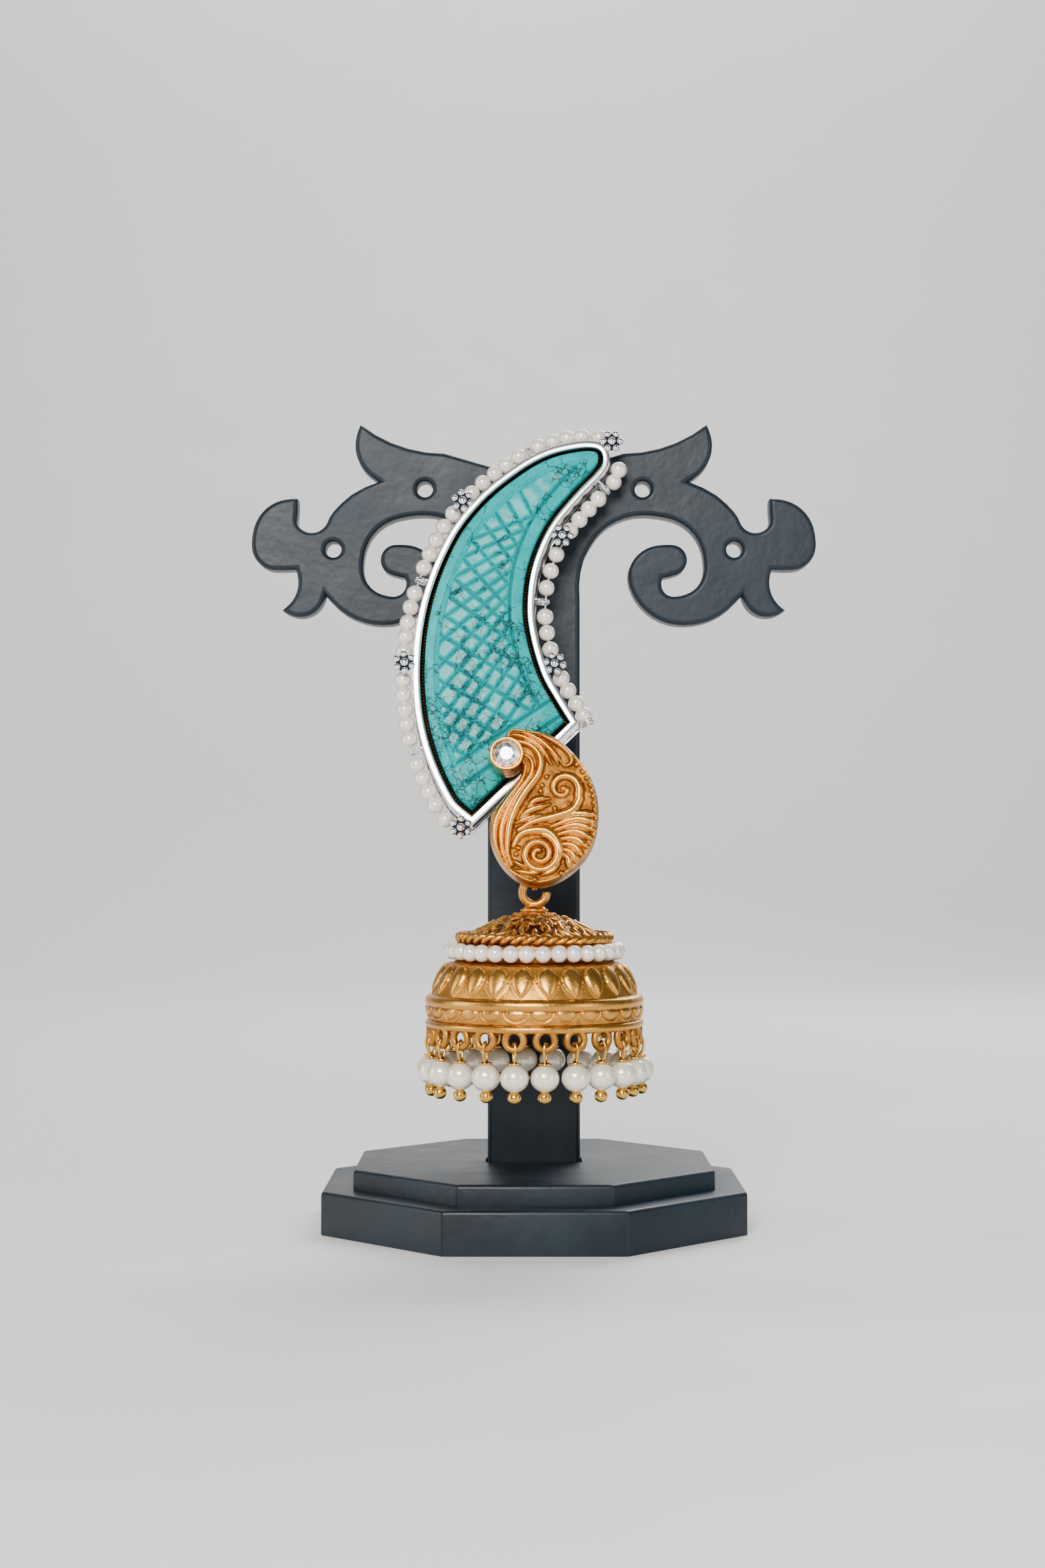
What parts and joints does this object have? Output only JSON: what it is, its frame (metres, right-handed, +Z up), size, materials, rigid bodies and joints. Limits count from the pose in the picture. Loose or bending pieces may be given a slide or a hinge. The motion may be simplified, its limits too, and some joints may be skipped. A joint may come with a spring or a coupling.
{
  "type": "jhumka earring on a display stand",
  "caption": "Long drop earring with a horn-shaped carved turquoise, pearl borders, a cast paisley and a pearl-fringed bell, hung on a plain scroll-armed display stand",
  "frame": {"origin": "middle of the stand's flat underside, on the surface it stands on", "axes": "+Z up; the earring faces -Y; +X to the viewer's right"},
  "size_m": [0.0878, 0.0701, 0.124],
  "materials": {
    "black_plastic": "moulded, satin",
    "oxidised_silver": "polished rim, dark recesses",
    "turquoise": "polished stone with dark web matrix",
    "small_pearl": "cream pearl",
    "drop_pearl": "cream pearl with gold wire and ball",
    "antique_gold": "matte antique gold, darker recesses",
    "crystal": "clear cut stone"
  },
  "bodies": {
    "stand_and_top": {"stand_base": "black_plastic", "stand_upright": "black_plastic", "horn_bezel": "oxidised_silver", "turquoise_stone": "turquoise", "ear_nut": "oxidised_silver", "pearl_string_left": "small_pearl", "pearl_string_right": "small_pearl", "paisley_mount": "antique_gold", "crystal_stone": "crystal"},
    "bell": {"bell_dome": "antique_gold", "bell_pearl_ring": "small_pearl", "drop_01": "drop_pearl", "drop_02": "drop_pearl", "drop_03": "drop_pearl", "drop_04": "drop_pearl", "drop_05": "drop_pearl", "drop_06": "drop_pearl", "drop_07": "drop_pearl", "drop_08": "drop_pearl", "drop_09": "drop_pearl", "drop_10": "drop_pearl", "drop_11": "drop_pearl", "drop_12": "drop_pearl", "drop_13": "drop_pearl", "drop_14": "drop_pearl", "drop_15": "drop_pearl", "drop_16": "drop_pearl", "drop_17": "drop_pearl", "drop_18": "drop_pearl", "drop_19": "drop_pearl", "drop_20": "drop_pearl", "drop_21": "drop_pearl", "drop_22": "drop_pearl"}
  },
  "joints": [
    {"name": "bell_swing", "type": "hinge", "parent": "stand_and_top", "child": "bell", "pos_m": [0, -0.0207, 0.05207], "axis": [0, 1, 0], "range_deg": [-30, 30]}
  ]
}
